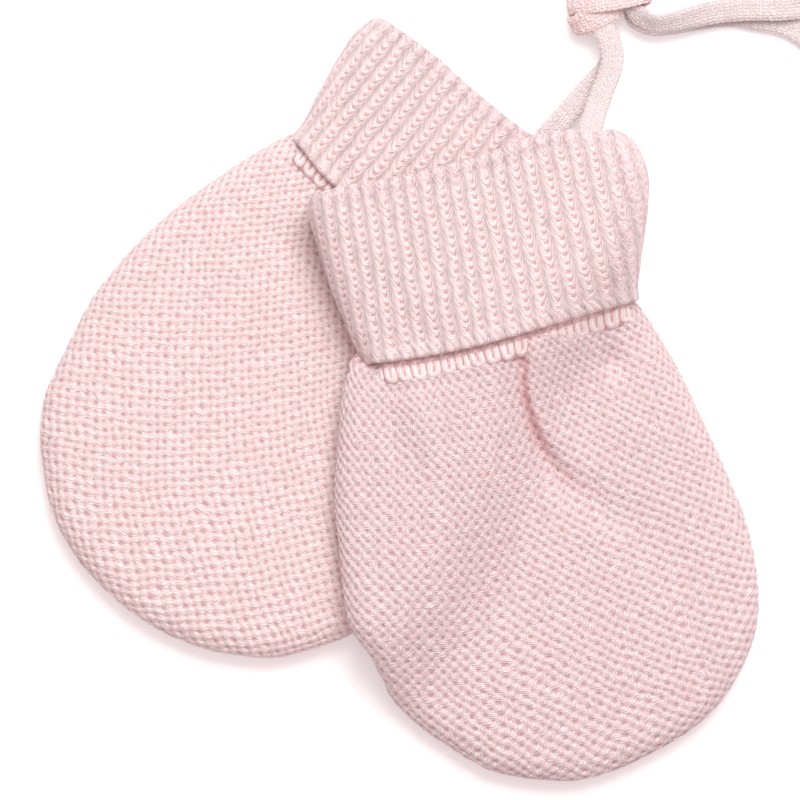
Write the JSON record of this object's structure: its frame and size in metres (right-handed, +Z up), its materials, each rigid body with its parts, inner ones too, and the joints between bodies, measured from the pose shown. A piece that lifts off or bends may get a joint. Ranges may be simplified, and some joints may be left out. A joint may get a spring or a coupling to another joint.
{
  "type": "pair of baby mittens",
  "caption": "Knitted cotton baby mittens without thumbs, ribbed cuffs turned back, joined by a flat knotted cord, laid flat with one mitten resting on the other.",
  "frame": {"origin": "bottom centre of the two mittens' box, on the surface they lie on; the cord is not counted", "axes": "+Z up from the surface; +Y towards the cuffs and the knot, +X to the side that the loop of cord lies on, as seen from straight above"},
  "size_m": [0.152, 0.1365, 0.019],
  "materials": {
    "knit_hand": "pale pink garter-like cotton knit",
    "knit_hand_under": "the same knit on the side that lies down",
    "knit_rib": "pale pink one by one rib",
    "knit_cord": "flat narrow knitted cord with a slight sheen"
  },
  "bodies": {
    "root": {"back_hand_top": "knit_hand", "back_hand_under": "knit_hand_under", "back_cuff": "knit_rib", "front_hand_top": "knit_hand", "front_hand_under": "knit_hand_under", "front_cuff": "knit_rib", "cord_from_back": "knit_cord", "cord_from_front": "knit_cord", "cord_loop": "knit_cord", "cord_knot": "knit_cord"}
  },
  "joints": []
}
